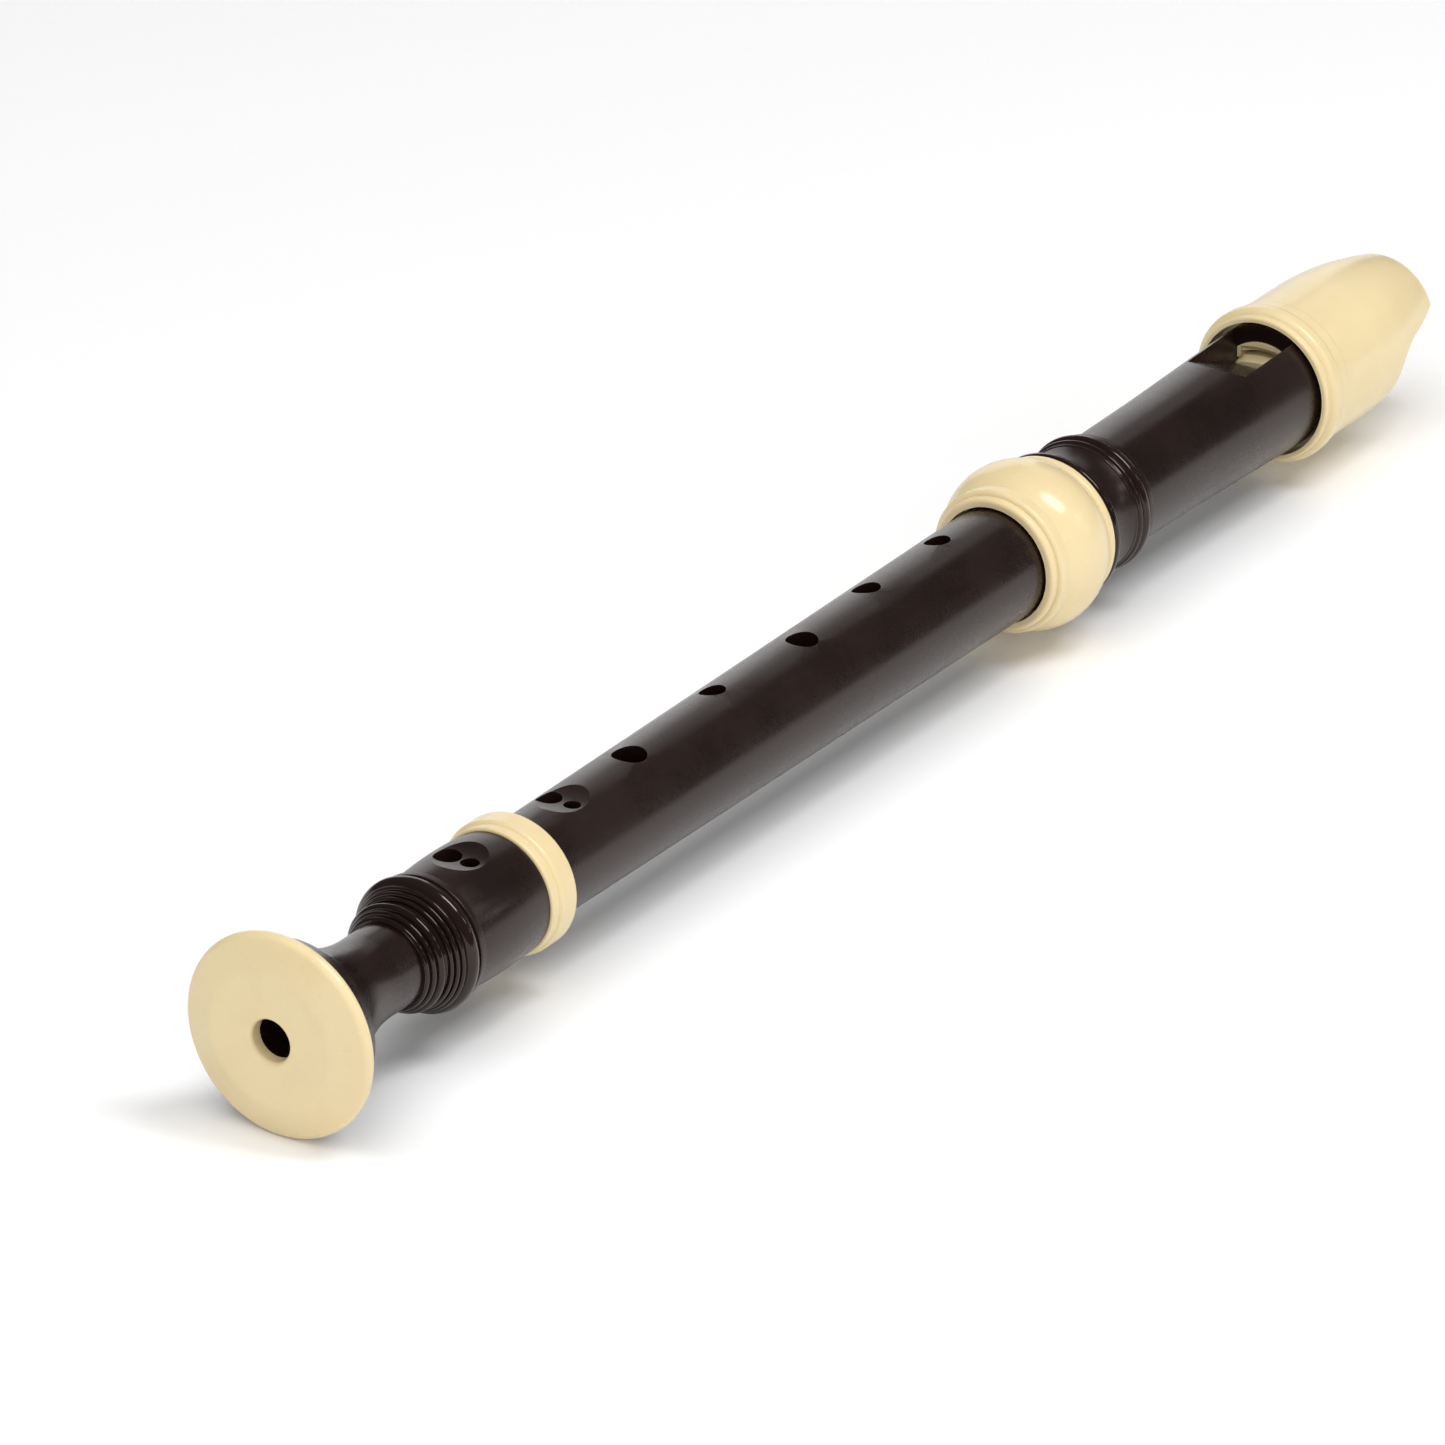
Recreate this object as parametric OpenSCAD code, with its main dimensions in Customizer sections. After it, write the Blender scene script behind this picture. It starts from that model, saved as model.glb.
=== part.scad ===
// Soprano recorder in three joints: bell and foot, middle joint, head with beak.
// It lies along X with the bell at -X, the beak at +X and the finger holes up (+Z).
// Every "_x" value is a distance along the bore, measured from the back of the cap's dome.

/* [Overall] */
// Length from the bell cap to the beak's tip
total_l = 329.2; // [328:0.2:331]
// Height of the bore axis above the surface the recorder lies on, the cap's own radius
cap_r = 17.15; // [16.8:0.05:17.5]

/* [Bell and foot] */
// How far the face of the ivory bell cap stands out
dome_h = 2.2; // [1.8:0.1:2.4]
// Radius of the bore at the bell
bell_bore_r = 3.55; // [3.4:0.05:3.8]
// Smallest outer radius of the waist behind the bell
waist_r = 7.05; // [6.8:0.05:7.3]
// Largest radius of the bead group
foot_bead_r = 11.5; // [11.2:0.1:11.8]
// Largest radius of the foot's barrel
barrel_r = 10.8; // [10.6:0.1:11]
// Largest radius of the ivory foot ring
foot_ring_r = 11.5; // [11.2:0.1:11.8]

/* [Middle joint] */
// Radius of the middle joint at the foot ring
mid_r0 = 8.9; // [8.7:0.1:9]
// Radius of the middle joint at the bulb
mid_r1 = 9.95; // [9.7:0.05:10]
// Radius of the bore at the foot end of the middle joint
mid_bore_r0 = 5; // [4.8:0.1:5.2]
// Radius of the bore at the head end of the middle joint
mid_bore_r1 = 6.5; // [6.2:0.1:6.6]
// Diameter of the thumb hole
thumb_d = 5; // [4.6:0.1:5.4]

/* [Head] */
// Largest radius of the ivory bulb ring
bulb_r = 14.7; // [14.4:0.1:15]
// Radius of the head tube above its socket
head_r0 = 10.25; // [10:0.05:10.4]
// Radius of the head tube halfway to the window
head_r1 = 10.5; // [10.4:0.05:10.6]
// Radius of the head tube at the beak
head_r2 = 11.3; // [11.2:0.05:11.4]
// Radius of the bore in the head
head_bore_r = 6.6; // [6.6:0.1:6.8]
// Width of the window over the labium's edge
window_w = 10.5; // [10:0.1:11]
// Height of the windway's floor above the bore axis
floor_z = 5.4; // [5.2:0.05:5.5]
// Height of the windway from floor to roof
windway_h = 1; // [0.8:0.05:1.2]
// Outer radius of the beak above its ring
beak_r = 13.3; // [13:0.1:13.6]

/* [Fits] */
// Radial clearance of a tenon in its socket
tenon_gap = 0.05; // [0.02:0.01:0.1]
// Radial clearance of an ivory ring on its tube
ring_gap = 0.05; // [0.02:0.01:0.1]

/* [Hidden] */
dark = "#2e2624";
ivory = "#f1e2b1";
fn_turn = 128;
fn_hole = 64;
eps = 0.01;

// Places along the bore
cap_back_x = 1.9;
cap_seat_x = 0.3;
flare_mid_x = 23.3;
waist_end_x = 28.5;
foot_spigot_x = 33;
foot_seam_x = 38.7;
foot_socket_x = 52;
foot_tenon_x = 52.4;
foot_ring_x0 = 58.1;
foot_ring_x1 = 64.5;
mid_shoulder_x0 = 64.55;
bulb_x0 = 202.2;
mid_shoulder_x1 = 205.3;
bulb_mouth_x = 205.4;
socket_x0 = 205.6;
bulb_x1 = 220;
head_tenon_x = 223;
socket_x1 = 224;
head_spigot_x = 226;
head_seam_x = 233;
head_mid_x = 256;
labium_x = 283;
beak_x = 286.7;
windway_x = 287.2;
skirt_x = 290.5;
head_end_x = 300;
block_end_x = 309;
tip_x = total_l - dome_h;

// Radii of the joints
cap_seat_r = 14;
foot_spigot_r = 7.5;
foot_tenon_r = 7.6;
foot_sleeve_r = 9.3;
head_tenon_r = 8.05;
head_sleeve_r = 9.6;
head_spigot_r = 8.6;
mouth_r = 10.3;
skirt_r = 12.1;

// The labium's ramp: height of its edge, slope and the radius it is arched to
labium_z = 5.6;
ramp_slope = 20.4;
ramp_arch_r = 40;
// The windway: radius its floor and roof are arched to, slant of both lips, width between its walls
windway_arch_r = 18;
lip_slant = 1;
windway_w = window_w - 1.5;

// Finger holes of the middle joint: place, diameter, turn away from the top
finger_holes = [
    [95.4, 5.8, 0],
    [121.7, 4.5, -11.5],
    [144.9, 5.4, 0],
    [166.7, 4.9, -11.5],
    [188, 4.5, -11.5],
];
thumb_x = 195.5;
// Double holes: place, large diameter, its turn, small diameter, its turn, depth of the scoop
double_6 = [76.8, 4.3, -18, 2.8, 12.5, 0.8];
double_7 = [48.5, 4.6, -12.5, 3.1, 11.5, 0.9];
scoop_r = 16;

// ---- Shared shapes ----

// Puts a piece drawn along the bore into the frame of the whole recorder
module place() {
    translate([dome_h - total_l / 2, 0, cap_r]) children();
}

// Turns a half section, radius across and distance along the bore upwards
module turned() {
    rotate([90, 0, 90]) rotate_extrude($fn = fn_turn) children();
}

// A plain stretch of a half section
module band(x0, x1, r) {
    translate([0, x0]) square([r, x1 - x0]);
}

// A stretch of a half section with both outer corners rounded
module soft_band(x0, x1, r, round_r) {
    band(x0, x1, r - round_r);
    band(x0 + round_r, x1 - round_r, r);
    for (x = [x0 + round_r, x1 - round_r])
        translate([r - round_r, x]) circle(r = round_r, $fn = fn_hole);
}

// A stretch whose radius changes evenly
module taper(x0, x1, r0, r1) {
    polygon([[0, x0], [r0, x0], [r1, x1], [0, x1]]);
}

// A round ridge: its crest is at radius r
module ridge(x, r, round_r) {
    translate([r - round_r, x]) circle(r = round_r, $fn = fn_hole);
}

// A straight or conical bore along X
module bore(x0, x1, r0, r1) {
    translate([x0, 0, 0]) rotate([0, 90, 0])
        cylinder(h = x1 - x0, r1 = r0, r2 = r1, $fn = fn_turn);
}

// A hole drilled from outside to the bore, turned about the bore from the top
module tone_hole(x, d, turn) {
    translate([x, 0, 0]) rotate([turn, 0, 0]) cylinder(h = 20, d = d, $fn = fn_hole);
}

// The scoop and the two holes of a double hole, on a tube of radius r
module double_hole(spec, r) {
    tone_hole(spec[0], spec[1], spec[2]);
    tone_hole(spec[0], spec[3], spec[4]);
    translate([spec[0], 0, r - spec[5] + scoop_r]) rotate([90, 0, 0])
        cylinder(h = 40, r = scoop_r, center = true, $fn = fn_turn);
}

function mid_r(x) =
    mid_r0 + (mid_r1 - mid_r0) * (x - mid_shoulder_x0) / (mid_shoulder_x1 - mid_shoulder_x0);

// ---- Foot ----

// Half section of the cap: flat face, sloping shoulder and round rim
module cap_side() {
    face_r = 10.5;
    shoulder_round = 4.5;
    shoulder_x = shoulder_round - dome_h;
    rim_round = 1.35;
    rim_r = cap_r - rim_round;
    rim_x = 0.76;
    reach = norm([rim_r - face_r, shoulder_x - rim_x]);
    lean = acos((shoulder_round - rim_round) / reach) + atan2(shoulder_x - rim_x, rim_r - face_r);
    intersection() {
        translate([0, -dome_h]) square([cap_r, cap_back_x + dome_h]);
        union() {
            translate([face_r, shoulder_x]) circle(r = shoulder_round, $fn = fn_hole);
            translate([rim_r, rim_x]) circle(r = rim_round, $fn = fn_hole);
            polygon([[0, -dome_h], [face_r, -dome_h],
                     [face_r + shoulder_round * cos(lean), shoulder_x - shoulder_round * sin(lean)],
                     [rim_r + rim_round * cos(lean), rim_x - rim_round * sin(lean)],
                     [rim_r, rim_x], [rim_r, cap_back_x], [0, cap_back_x]]);
        }
    }
}

// Ivory cap that closes the bell around the bore
module bell_cap() color(ivory) place() {
    mouth_round = 0.8;
    difference() {
        turned() difference() {
            cap_side();
            band(cap_seat_x, cap_back_x + 1, cap_seat_r);
        }
        bore(-dome_h - 1, cap_seat_x + 1, bell_bore_r, bell_bore_r);
        // Rounded mouth of the bore
        turned() difference() {
            band(-dome_h - 1, mouth_round - dome_h, bell_bore_r + mouth_round);
            translate([bell_bore_r + mouth_round, mouth_round - dome_h])
                circle(r = mouth_round, $fn = fn_hole);
        }
    }
}

// Dark bell: flare, waist and the group of turned beads
module bell() color(dark) place() {
    flare_r = 25;
    lip_r = 16.35;
    lip_end_x = 5.9;
    lip_end_r = 14.1;
    difference() {
        turned() {
            band(cap_seat_x, cap_back_x, cap_seat_r);
            taper(cap_back_x, lip_end_x, lip_r, lip_end_r);
            difference() {
                band(lip_end_x, flare_mid_x, lip_end_r);
                translate([waist_r + flare_r, flare_mid_x]) circle(r = flare_r, $fn = 256);
                // Fine groove behind the lip
                translate([lip_end_r - 0.3, lip_end_x + 0.4]) circle(r = 0.35, $fn = fn_hole);
            }
            band(flare_mid_x, waist_end_x + 1, waist_r);
            // Small bead with two fine ridges in front of it
            taper(waist_end_x, waist_end_x + 4, 7.5, 8.3);
            ridge(29.1, 7.9, 0.5);
            ridge(30.1, 8.5, 0.55);
            ridge(31.4, 9.2, 0.8);
            // Large bead with three fine ridges on its front
            taper(waist_end_x + 4, 36.4, 8.5, foot_bead_r - 1);
            band(36.4, foot_seam_x, foot_bead_r - 0.9);
            ridge(33.3, 9.5, 0.45);
            ridge(34.2, 10.05, 0.45);
            ridge(35.1, 10.55, 0.45);
            ridge(36.9, foot_bead_r, 1.4);
        }
        bore(cap_seat_x - 1, foot_spigot_x + 1, bell_bore_r, bell_bore_r);
        bore(foot_spigot_x, foot_seam_x + 1, foot_spigot_r, foot_spigot_r);
    }
}

// Dark barrel of the foot, with the double hole for the little finger
module foot_tube() color(dark) place() {
    barrel_mid_x = 50.5;
    barrel_curve_r = 90;
    difference() {
        turned() {
            band(foot_spigot_x, foot_seam_x + 1, foot_spigot_r);
            soft_band(foot_seam_x, 40.1, 11, 0.25);
            intersection() {
                band(40, foot_ring_x0, barrel_r);
                translate([barrel_r - barrel_curve_r, barrel_mid_x])
                    circle(r = barrel_curve_r, $fn = 256);
            }
            band(foot_ring_x0 - 1, foot_ring_x1 - 0.2, foot_sleeve_r);
        }
        bore(foot_spigot_x - 1, foot_socket_x + eps, bell_bore_r, mid_bore_r0);
        bore(foot_socket_x, foot_ring_x1 + 1, foot_tenon_r + tenon_gap, foot_tenon_r + tenon_gap);
        double_hole(double_7, barrel_r);
    }
}

// Ivory ring around the mouth of the foot
module foot_ring() color(ivory) place() {
    bore_r = foot_sleeve_r + ring_gap;
    difference() {
        turned() {
            soft_band(foot_ring_x0 + 0.1, foot_ring_x0 + 3, 11, 0.5);
            soft_band(foot_ring_x0 + 1.6, foot_ring_x1, foot_ring_r, 0.9);
        }
        bore(foot_ring_x0 - 1, foot_ring_x1 + 1, bore_r, bore_r);
    }
}

// ---- Middle joint ----

// Dark tube with a tenon at each end, five single holes, one double hole and the thumb hole
module middle_tube() color(dark) place() {
    groove_d = 0.25;
    difference() {
        turned() {
            difference() {
                band(foot_tenon_x, mid_shoulder_x0 + 1, foot_tenon_r);
                for (x = [foot_tenon_x + 3 : 3 : mid_shoulder_x0 - 2])
                    translate([foot_tenon_r - groove_d, x]) square([1, 0.8]);
            }
            taper(mid_shoulder_x0, mid_shoulder_x1, mid_r0, mid_r1);
            difference() {
                band(mid_shoulder_x1 - 1, head_tenon_x, head_tenon_r);
                for (x = [mid_shoulder_x1 + 3 : 3 : head_tenon_x - 2])
                    translate([head_tenon_r - groove_d, x]) square([1, 0.8]);
            }
        }
        bore(foot_tenon_x - eps, head_tenon_x + eps, mid_bore_r0, mid_bore_r1);
        for (h = finger_holes) tone_hole(h[0], h[1], h[2]);
        tone_hole(thumb_x, thumb_d, 180);
        double_hole(double_6, mid_r(double_6[0]));
    }
}

// ---- Head ----

// Ivory bulb around the mouth of the head
module bulb_ring() color(ivory) place() {
    bore_r = head_sleeve_r + ring_gap;
    curve_r = 10.3;
    mid_x = 212;
    difference() {
        turned() {
            soft_band(bulb_x0, bulb_x0 + 3, 11.8, 0.75);
            soft_band(bulb_x0 + 1.3, bulb_x0 + 5, 12.7, 0.75);
            intersection() {
                band(bulb_x0 + 3, bulb_x1 - 1.2, bulb_r);
                translate([bulb_r - curve_r, mid_x]) circle(r = curve_r, $fn = 256);
            }
            soft_band(bulb_x1 - 1.9, bulb_x1, 12.9, 0.7);
        }
        bore(bulb_x0 - 1, bulb_mouth_x, mouth_r, mouth_r);
        bore(bulb_mouth_x - eps, bulb_x1 + 1, bore_r, bore_r);
    }
}

// Dark socket of the head: sleeve, thin flange, waist and bead
module head_socket() color(dark) place() {
    neck_r = 10.55;
    neck_curve_r = 12;
    neck_x = 225.2;
    socket_r = head_tenon_r + tenon_gap;
    difference() {
        turned() {
            band(socket_x0, bulb_x1 + 1, head_sleeve_r);
            soft_band(bulb_x1 + 0.1, bulb_x1 + 1.6, 12.85, 0.6);
            difference() {
                band(bulb_x1 + 1, 229.4, 11.6);
                translate([neck_r + neck_curve_r, neck_x]) circle(r = neck_curve_r, $fn = 256);
            }
            band(229, head_seam_x, 10.9);
            ridge(229.1, 11.3, 0.45);
            ridge(230, 11.75, 0.55);
            ridge(231.6, 12.05, 0.95);
            band(229.6, 231.6, 11.4);
        }
        bore(socket_x0 - 1, socket_x1, socket_r, socket_r);
        bore(socket_x0, head_spigot_x + 1, head_bore_r, head_bore_r);
        bore(head_spigot_x, head_seam_x + 1, head_spigot_r, head_spigot_r);
    }
}

// Opening over the labium, seen along the bore: its walls lean outwards above the windway
module window_end() {
    half = window_w / 2;
    polygon([[-half, 0], [half, 0], [half, 6], [half + 0.5, 9.5], [half + 0.9, 12.3],
             [-half - 0.9, 12.3], [-half - 0.5, 9.5], [-half, 6]]);
}

// Solid under the labium's ramp, from its edge towards the foot
module ramp() {
    translate([labium_x, 0, labium_z]) rotate([0, ramp_slope, 0])
        translate([-30, 0, -ramp_arch_r]) rotate([0, 90, 0])
            cylinder(h = 30, r = ramp_arch_r, $fn = 512);
}

// Everything over the ramp inside the window, and the tunnel behind it for key and tongue
module window_cut() {
    wall_x = windway_x + 0.3;
    difference() {
        translate([labium_x - 17, 0, 0]) rotate([90, 0, 90])
            linear_extrude(wall_x - labium_x + 17) window_end();
        ramp();
    }
    tongue_room(wall_x - 1, window_w, 0);
}

// Wedge that closes the top of the bore under the ramp, down to the labium's thin lip
module labium_wedge() {
    lip = 0.35;
    rotate([90, 0, 0]) linear_extrude(window_w, center = true)
        polygon([[labium_x, labium_z + 1], [labium_x, labium_z - lip],
                 [labium_x - 14, head_bore_r + 0.1], [labium_x - 14, head_bore_r + 1]]);
}

// Dark head tube with the window and the labium
module head_tube() color(dark) place() {
    difference() {
        turned() {
            band(head_spigot_x, head_seam_x + 1, head_spigot_r);
            soft_band(head_seam_x, head_seam_x + 1.3, 11.35, 0.25);
            polygon([[0, head_seam_x + 0.5], [head_r0, head_seam_x + 0.5], [head_r1, head_mid_x],
                     [head_r2, beak_x], [head_r2, head_end_x], [0, head_end_x]]);
        }
        difference() {
            bore(head_spigot_x - 1, head_end_x + 1, head_bore_r, head_bore_r);
            labium_wedge();
        }
        window_cut();
    }
}

// Space under an arch whose top is at height z
module under_arch(x0, x1, z) {
    translate([0, 0, z - windway_arch_r]) bore(x0, x1, windway_arch_r, windway_arch_r);
}

// Upright slab along the bore, as wide as w
module slab(x0, x1, w, z0, z1) {
    translate([x0, -w / 2, z0]) cube([x1 - x0, w, z1 - z0]);
}

// The same arch leaning down (lean below 0) or up from the windway towards the window
module leaning_arch(z, lean) {
    r = windway_arch_r / cos(lean);
    translate([windway_x + lip_slant, 0, z]) rotate([0, lean, 0])
        translate([-6, 0, -r]) rotate([0, 90, 0]) cylinder(h = 6, r = r, $fn = 256);
}

// Room taken by the block: a plug in the bore, and a key that fills the tube's slot
module block_room(x0) {
    intersection() {
        union() {
            bore(x0, block_end_x, head_bore_r, head_bore_r);
            slab(x0, head_end_x, window_w - 0.1, 3, floor_z);
        }
        under_arch(x0 - 1, block_end_x + 1, floor_z);
    }
}

// Ivory plug that closes the bore and forms the floor of the windway
module block() color(ivory) place() {
    difference() {
        block_room(windway_x);
        difference() {
            slab(windway_x - 1, windway_x + lip_slant, window_w + 1, floor_z - 2.5, floor_z + 1);
            leaning_arch(floor_z, -45);
        }
    }
}

// Side view of what is cut away under the beak: a steep throat that runs into the long lip
module beak_cut_side() {
    throat_lean = 76.5;
    lip_rise = 10.5;
    hollow = [318.8, -4.75];
    hollow_r = 6.5;
    corner = [304, -5.3];
    corner_r = 8;
    throat = hollow + hollow_r * [-sin(throat_lean), cos(throat_lean)];
    lip = hollow + hollow_r * [-sin(lip_rise), cos(lip_rise)];
    translate(hollow) circle(r = hollow_r, $fn = fn_turn);
    polygon([throat, hollow, lip, lip + 30 * [cos(lip_rise), sin(lip_rise)], [350, -40],
             throat - 35 * [cos(throat_lean), sin(throat_lean)]]);
    difference() {
        translate(corner - [0, 30]) square([corner_r, 30]);
        translate(corner) circle(r = corner_r, $fn = fn_turn);
    }
}

// Room taken by the tongue that forms the windway's roof and walls, arched on top
module tongue_room(x0, w, z0) {
    arch_r = 8.5;
    arch_top_z = 8.3;
    intersection() {
        slab(x0, head_end_x + 1, w, z0, arch_top_z + 1);
        translate([0, 0, arch_top_z - arch_r]) bore(x0 - 1, head_end_x + 2, arch_r, arch_r);
    }
}

// The windway's air space, with the slanted lip of its roof
module windway() {
    roof_z = floor_z + windway_h;
    intersection() {
        slab(windway_x - 1, tip_x + 1, windway_w, 0, roof_z + lip_slant + 1);
        difference() {
            union() {
                under_arch(windway_x - 2, tip_x + 2, roof_z);
                leaning_arch(roof_z, 45);
            }
            under_arch(block_end_x, tip_x + 3, floor_z);
        }
    }
}

// Half section of the beak: three turned bands, then a body that narrows to the rounded tip
module beak_side() {
    narrow_x = 304.5;
    narrow_r = 82;
    tip_round = 0.6;
    tip_r = beak_r - narrow_r + sqrt(pow(narrow_r, 2) - pow(tip_x - tip_round - narrow_x, 2));
    soft_band(beak_x, beak_x + 3, 13.1, 0.5);
    soft_band(beak_x + 1.1, beak_x + 4.6, 14.1, 1.3);
    soft_band(beak_x + 4, beak_x + 7, 13.6, 0.5);
    band(beak_x + 5, narrow_x, beak_r);
    intersection() {
        band(narrow_x - 1, tip_x - tip_round, beak_r);
        translate([beak_r - narrow_r, narrow_x]) circle(r = narrow_r, $fn = 256);
    }
    band(tip_x - 2, tip_x, tip_r - tip_round);
    ridge(tip_x - tip_round, tip_r, tip_round);
}

// Ivory beak with its ring, the tongue over the windway and the curved cut under the lips
module beak() color(ivory) place() {
    difference() {
        union() {
            difference() {
                turned() beak_side();
                bore(beak_x - 1, skirt_x, skirt_r, skirt_r);
                bore(beak_x, head_end_x, head_r2, head_r2);
            }
            tongue_room(windway_x, window_w - 0.1, 3.5);
        }
        block_room(windway_x - 1);
        // The tongue's walls end above the block's key
        intersection() {
            slab(windway_x - 1, head_end_x, window_w + 1, 3, floor_z);
            under_arch(windway_x - 2, head_end_x + 1, floor_z);
        }
        windway();
        rotate([90, 0, 0]) linear_extrude(60, center = true) beak_cut_side();
    }
}

bell_cap();
bell();
foot_tube();
foot_ring();
middle_tube();
bulb_ring();
head_socket();
head_tube();
block();
beak();
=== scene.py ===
import math

import bpy
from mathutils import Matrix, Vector

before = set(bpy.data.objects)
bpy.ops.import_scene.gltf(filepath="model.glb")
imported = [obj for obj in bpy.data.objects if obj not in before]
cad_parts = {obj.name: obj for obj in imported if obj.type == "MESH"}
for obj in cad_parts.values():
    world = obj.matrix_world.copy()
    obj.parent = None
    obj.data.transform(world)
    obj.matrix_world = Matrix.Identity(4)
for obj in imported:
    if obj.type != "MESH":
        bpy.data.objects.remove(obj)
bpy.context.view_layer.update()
scene = bpy.context.scene

# ---- Camera ----
FOCAL = 299.0
SENSOR = 36.0
VIEW_AZIMUTH = math.radians(33.79)
VIEW_ELEVATION = math.radians(26.04)
VIEW_DISTANCE = 1.9508
AIM = Vector((-0.01606, 0.01635, 0.00657))


def make_camera():
    look = Vector((math.cos(VIEW_ELEVATION) * math.cos(VIEW_AZIMUTH),
                   math.cos(VIEW_ELEVATION) * math.sin(VIEW_AZIMUTH),
                   -math.sin(VIEW_ELEVATION)))
    data = bpy.data.cameras.new("camera")
    data.lens = FOCAL
    data.sensor_width = SENSOR
    data.clip_end = 20.0
    camera = bpy.data.objects.new("camera", data)
    camera.location = AIM - look * VIEW_DISTANCE
    camera.rotation_euler = look.to_track_quat("-Z", "Y").to_euler()
    scene.collection.objects.link(camera)
    scene.camera = camera


# ---- Materials: numbers ----
PLASTIC_IOR_DARK = 1.5
PLASTIC_IOR_IVORY = 1.49
DARK_ROUGHNESS = 0.28
IVORY_ROUGHNESS = 0.22
POLISHED_ROUGHNESS = 0.13
# Half width of the soft change from satin to polished
POLISH_EDGE = 0.0006
# Places along X, in metres, where the turned beads are polished
FOOT_BEADS = [(-0.1340, -0.1240)]
SOCKET_BEADS = [(0.0574, 0.0590), (0.0664, 0.0706)]
# Linear colours of the dark plastic: two clouds, flow marks, worn edges
DARK_CLOUDS = ((0.0075, 0.0032, 0.0026), (0.0130, 0.0062, 0.0052))
DARK_FLOW = (0.0165, 0.0085, 0.0072)
DARK_WORN = (0.045, 0.033, 0.029)
DARK_SPECULAR = (1.0, 0.86, 0.80, 1)
# Linear colours of the ivory plastic: two clouds, swirls, flecks, worn edges
IVORY_CLOUDS = ((0.735, 0.595, 0.340), (0.775, 0.635, 0.372))
IVORY_SWIRL = (0.715, 0.570, 0.312)
IVORY_FLECK = (0.65, 0.50, 0.26)
IVORY_WORN = (0.84, 0.73, 0.50)


# ---- Node helpers ----
class Nodes:
    """Short calls to add and join the nodes of one material."""

    def __init__(self, name):
        self.material = bpy.data.materials.new(name)
        self.material.use_nodes = True
        self.tree = self.material.node_tree
        self.shader = self.tree.nodes["Principled BSDF"]

    def add(self, kind, **inputs):
        node = self.tree.nodes.new(kind)
        for key, value in inputs.items():
            node.inputs[key.replace("_", " ")].default_value = value
        return node

    def join(self, source, target):
        self.tree.links.new(source, target)

    def position(self):
        return self.add("ShaderNodeTexCoord").outputs["Object"]

    def scaled_position(self, scale):
        mapping = self.add("ShaderNodeMapping")
        mapping.inputs["Scale"].default_value = scale
        self.join(self.position(), mapping.inputs["Vector"])
        return mapping.outputs["Vector"]

    def noise(self, vector, scale, detail=3.0, roughness=0.55):
        node = self.add("ShaderNodeTexNoise", Scale=scale, Detail=detail, Roughness=roughness)
        self.join(vector, node.inputs["Vector"])
        return node.outputs["Fac"]

    def remap(self, value, lo, hi, to_lo, to_hi):
        node = self.add("ShaderNodeMapRange")
        node.interpolation_type = "SMOOTHSTEP"
        for index, number in enumerate((lo, hi, to_lo, to_hi), start=1):
            node.inputs[index].default_value = number
        self.join(value, node.inputs[0])
        return node.outputs[0]

    def calc(self, operation, a, b):
        node = self.add("ShaderNodeMath")
        node.operation = operation
        for slot, value in zip(node.inputs, (a, b)):
            if isinstance(value, (int, float)):
                slot.default_value = value
            else:
                self.join(value, slot)
        return node.outputs[0]

    def blend(self, factor, first, second):
        node = self.add("ShaderNodeMix")
        node.data_type = "RGBA"
        self.join(factor, node.inputs["Factor"])
        for slot, color in ((node.inputs[6], first), (node.inputs[7], second)):
            if isinstance(color, tuple):
                slot.default_value = (*color, 1)
            else:
                self.join(color, slot)
        return node.outputs[2]

    def bump(self, height, strength, distance, normal=None):
        node = self.add("ShaderNodeBump", Strength=strength, Distance=distance)
        self.join(height, node.inputs["Height"])
        if normal is not None:
            self.join(normal, node.inputs["Normal"])
        return node.outputs["Normal"]

    def worn_edges(self, patches):
        """How far a point lies on a convex edge, broken up by a noise."""
        bevel = self.add("ShaderNodeBevel", Radius=0.0005)
        bevel.samples = 4
        dot = self.add("ShaderNodeVectorMath")
        dot.operation = "DOT_PRODUCT"
        self.join(bevel.outputs["Normal"], dot.inputs[0])
        self.join(self.add("ShaderNodeNewGeometry").outputs["Normal"], dot.inputs[1])
        return self.calc("MULTIPLY", self.remap(dot.outputs["Value"], 0.80, 0.99, 1.0, 0.0), patches)


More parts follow.
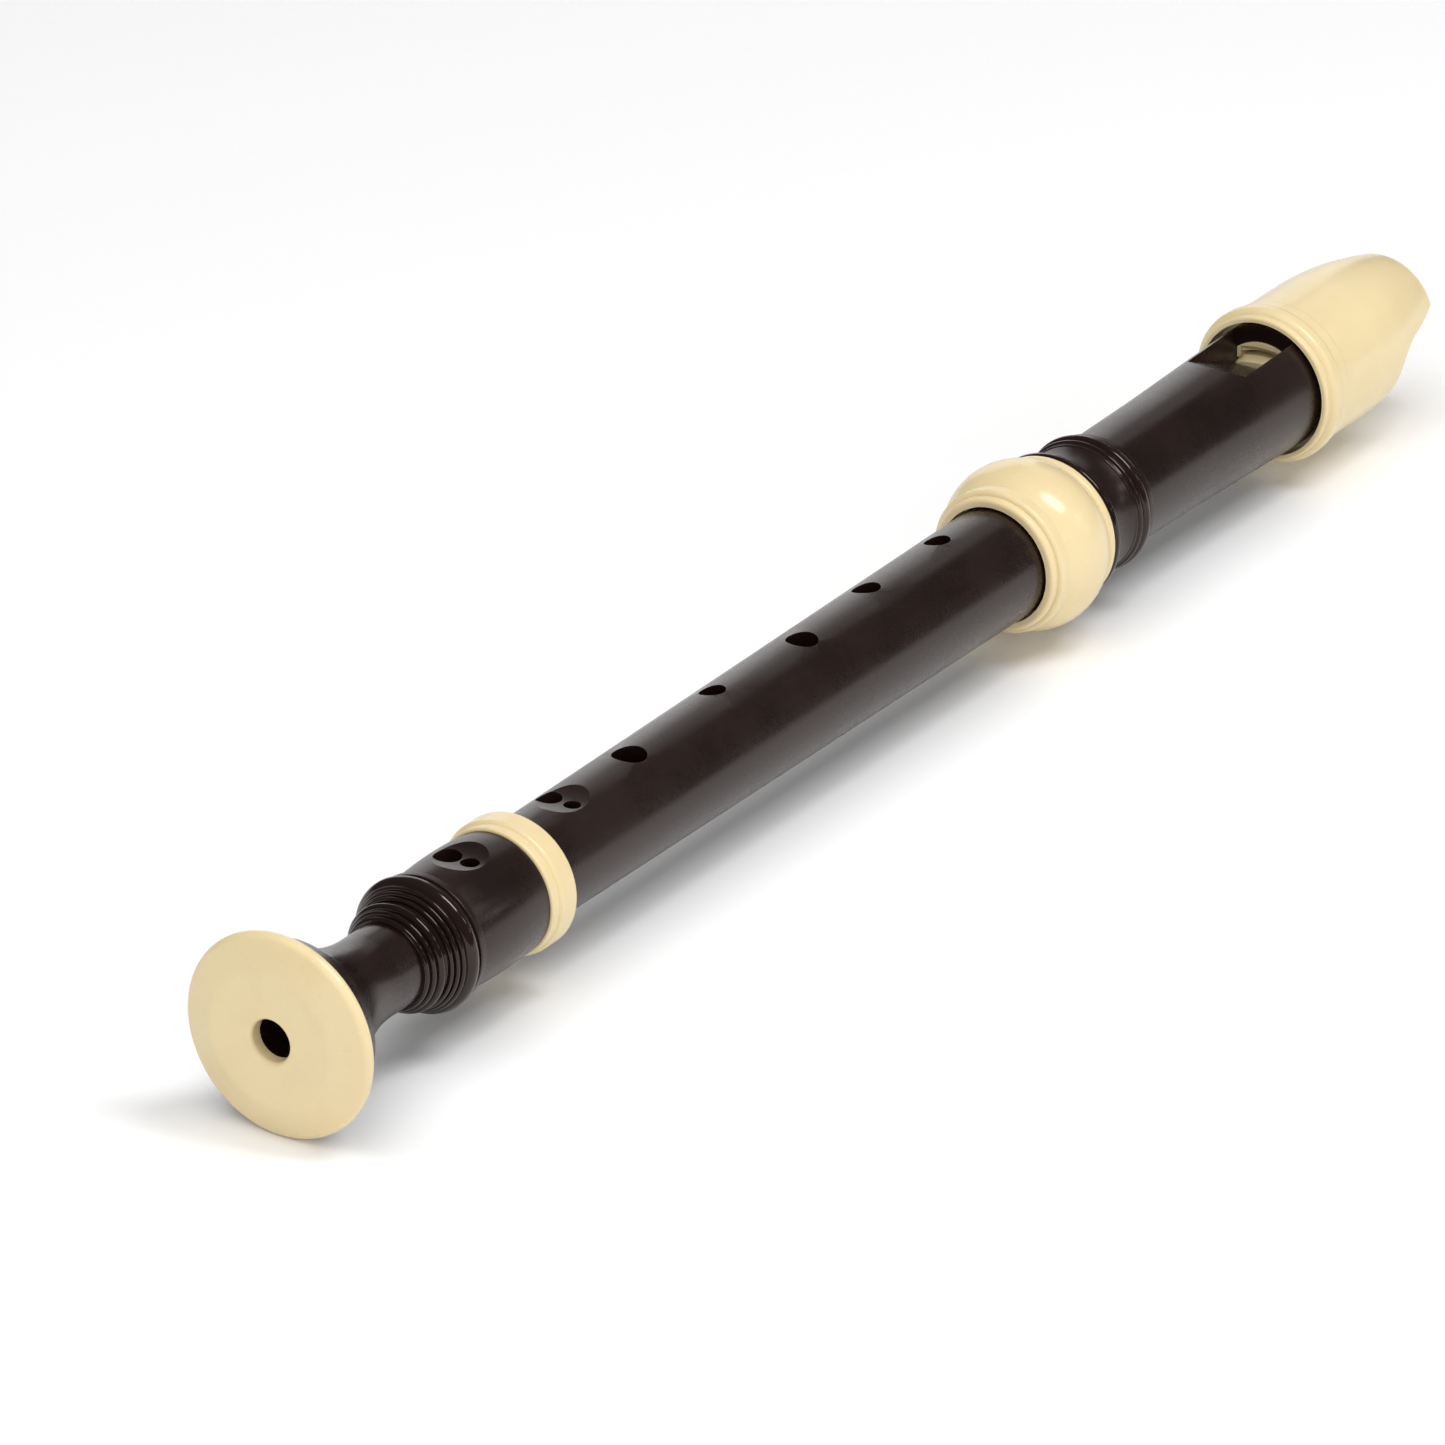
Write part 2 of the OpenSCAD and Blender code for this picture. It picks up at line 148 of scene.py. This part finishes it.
# ---- Materials ----
def dark_plastic(name, polished=()):
    """Brown-black moulded plastic: satin, and polished between the given places along X."""
    roughness = DARK_ROUGHNESS
    m = Nodes(name)
    m.shader.inputs["IOR"].default_value = PLASTIC_IOR_DARK
    cloud = m.noise(m.position(), 70.0, 4.0)
    grain = m.noise(m.position(), 900.0, 2.0)
    flow = m.noise(m.scaled_position((18.0, 160.0, 160.0)), 1.0, 3.0)
    tint = m.blend(m.remap(cloud, 0.3, 0.7, 0.0, 1.0), *DARK_CLOUDS)
    tint = m.blend(m.remap(flow, 0.45, 0.75, 0.0, 0.5), tint, DARK_FLOW)
    wear = m.worn_edges(m.remap(cloud, 0.35, 0.6, 0.2, 1.0))
    m.join(m.blend(m.calc("MULTIPLY", wear, 0.6), tint, DARK_WORN),
           m.shader.inputs["Base Color"])
    m.shader.inputs["Specular Tint"].default_value = DARK_SPECULAR
    satin = m.calc("ADD", m.remap(cloud, 0.3, 0.7, roughness - 0.03, roughness + 0.03),
                   m.remap(grain, 0.3, 0.7, -0.015, 0.015))
    for start, end in polished:
        separate = m.add("ShaderNodeSeparateXYZ")
        m.join(m.position(), separate.inputs[0])
        along = separate.outputs["X"]
        inside = m.calc("MULTIPLY",
                        m.remap(along, start - POLISH_EDGE, start + POLISH_EDGE, 0.0, 1.0),
                        m.remap(along, end - POLISH_EDGE, end + POLISH_EDGE, 1.0, 0.0))
        smoother = m.calc("MULTIPLY", inside, roughness - POLISHED_ROUGHNESS)
        satin = m.calc("SUBTRACT", satin, smoother)
    m.join(m.calc("SUBTRACT", satin, m.calc("MULTIPLY", wear, 0.06)),
           m.shader.inputs["Roughness"])
    fine = m.bump(grain, 0.05, 0.00001)
    m.join(m.bump(flow, 0.06, 0.00003, fine), m.shader.inputs["Normal"])
    return m.material


def ivory_plastic(name):
    """Warm ivory moulded plastic with faint clouds and a soft gloss."""
    roughness = IVORY_ROUGHNESS
    m = Nodes(name)
    m.shader.inputs["IOR"].default_value = PLASTIC_IOR_IVORY
    m.shader.inputs["Subsurface Weight"].default_value = 0.12
    m.shader.inputs["Subsurface Radius"].default_value = (1.0, 0.65, 0.3)
    m.shader.inputs["Subsurface Scale"].default_value = 0.0012
    cloud = m.noise(m.position(), 45.0, 4.0)
    swirl = m.noise(m.scaled_position((30.0, 90.0, 90.0)), 1.0, 5.0, 0.6)
    fleck = m.noise(m.position(), 1500.0, 2.0)
    tint = m.blend(m.remap(cloud, 0.3, 0.7, 0.0, 1.0), *IVORY_CLOUDS)
    tint = m.blend(m.remap(swirl, 0.5, 0.75, 0.0, 0.6), tint, IVORY_SWIRL)
    tint = m.blend(m.remap(fleck, 0.62, 0.74, 0.0, 0.25), tint, IVORY_FLECK)
    wear = m.worn_edges(m.remap(swirl, 0.35, 0.6, 0.2, 1.0))
    m.join(m.blend(m.calc("MULTIPLY", wear, 0.5), tint, IVORY_WORN),
           m.shader.inputs["Base Color"])
    gloss = m.remap(cloud, 0.3, 0.7, roughness - 0.03, roughness + 0.04)
    m.join(m.calc("SUBTRACT", gloss, m.calc("MULTIPLY", wear, 0.05)),
           m.shader.inputs["Roughness"])
    fine = m.bump(fleck, 0.05, 0.00002)
    m.join(m.bump(swirl, 0.08, 0.00006, fine), m.shader.inputs["Normal"])
    return m.material


def floor_paper():
    """Matt white studio paper."""
    m = Nodes("floor_paper")
    fiber = m.noise(m.position(), 600.0, 3.0)
    m.join(m.blend(fiber, (0.93, 0.93, 0.93), (0.95, 0.95, 0.95)), m.shader.inputs["Base Color"])
    m.shader.inputs["Roughness"].default_value = 1.0
    m.shader.inputs["Specular IOR Level"].default_value = 0.0
    return m.material


# ---- Floor and light ----
FLOOR_HALF = 4.0
WORLD_STRENGTH = 0.12
# Every soft light: name, azimuth and elevation in degrees, distance, size, radiance
LIGHTS = [
    ("key", -75, 63, 1.2, (0.30, 0.60), 12.0),
    ("side_high", -59, 30, 1.5, (0.16, 0.20), 6.0),
    ("side_low", -54, 14, 1.5, (0.10, 0.14), 6.0),
    ("backdrop", 42, 14, 1.6, (0.9, 0.9), 1.2),
    ("backdrop_top", 20, 37, 1.6, (0.6, 0.45), 0.6),
]
# Lights that fill the shadows and aren't seen in the gloss
FILLS = [
    ("overhead", 170, 70, 1.8, (1.6, 1.6), 2.4),
    ("front_fill", -160, 25, 1.8, (1.4, 1.0), 2.0),
    ("right_fill", -95, 16, 1.5, (1.8, 0.7), 1.5),
]


def make_floor():
    half = FLOOR_HALF
    mesh = bpy.data.meshes.new("floor")
    mesh.from_pydata([(-half, -half, 0), (half, -half, 0), (half, half, 0), (-half, half, 0)],
                     [], [(0, 1, 2, 3)])
    floor = bpy.data.objects.new("floor", mesh)
    scene.collection.objects.link(floor)
    mesh.materials.append(floor_paper())


def softbox(name, azimuth, elevation, distance, size, radiance, glossy):
    """A rectangular light that faces the recorder; its power follows from its radiance."""
    a, e = math.radians(azimuth), math.radians(elevation)
    way = Vector((math.cos(e) * math.cos(a), math.cos(e) * math.sin(a), math.sin(e)))
    data = bpy.data.lights.new(name, "AREA")
    data.shape = "RECTANGLE"
    data.size, data.size_y = size
    data.energy = math.pi * radiance * size[0] * size[1]
    lamp = bpy.data.objects.new(name, data)
    lamp.location = Vector((0, 0, 0.02)) + way * distance
    lamp.rotation_euler = (-way).to_track_quat("-Z", "Y").to_euler()
    lamp.visible_glossy = glossy
    scene.collection.objects.link(lamp)


def make_light():
    world = bpy.data.worlds.new("studio")
    world.use_nodes = True
    background = world.node_tree.nodes["Background"]
    background.inputs["Color"].default_value = (1, 1, 1, 1)
    background.inputs["Strength"].default_value = WORLD_STRENGTH
    scene.world = world
    for light in LIGHTS:
        softbox(*light, glossy=True)
    for light in FILLS:
        softbox(*light, glossy=False)


# ---- Assemble ----
scene.view_settings.view_transform = "Standard"
make_camera()
make_light()
make_floor()

ivory = ivory_plastic("ivory_plastic")
body = dark_plastic("dark_satin")
foot = dark_plastic("dark_foot", FOOT_BEADS)
socket = dark_plastic("dark_socket", SOCKET_BEADS)
MATERIALS = {
    "bell_cap": ivory, "foot_ring": ivory, "bulb_ring": ivory, "block": ivory, "beak": ivory,
    "bell": foot, "foot_tube": foot,
    "middle_tube": body, "head_tube": body,
    "head_socket": socket,
}
for name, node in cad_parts.items():
    node.data.materials.clear()
    node.data.materials.append(MATERIALS[name])
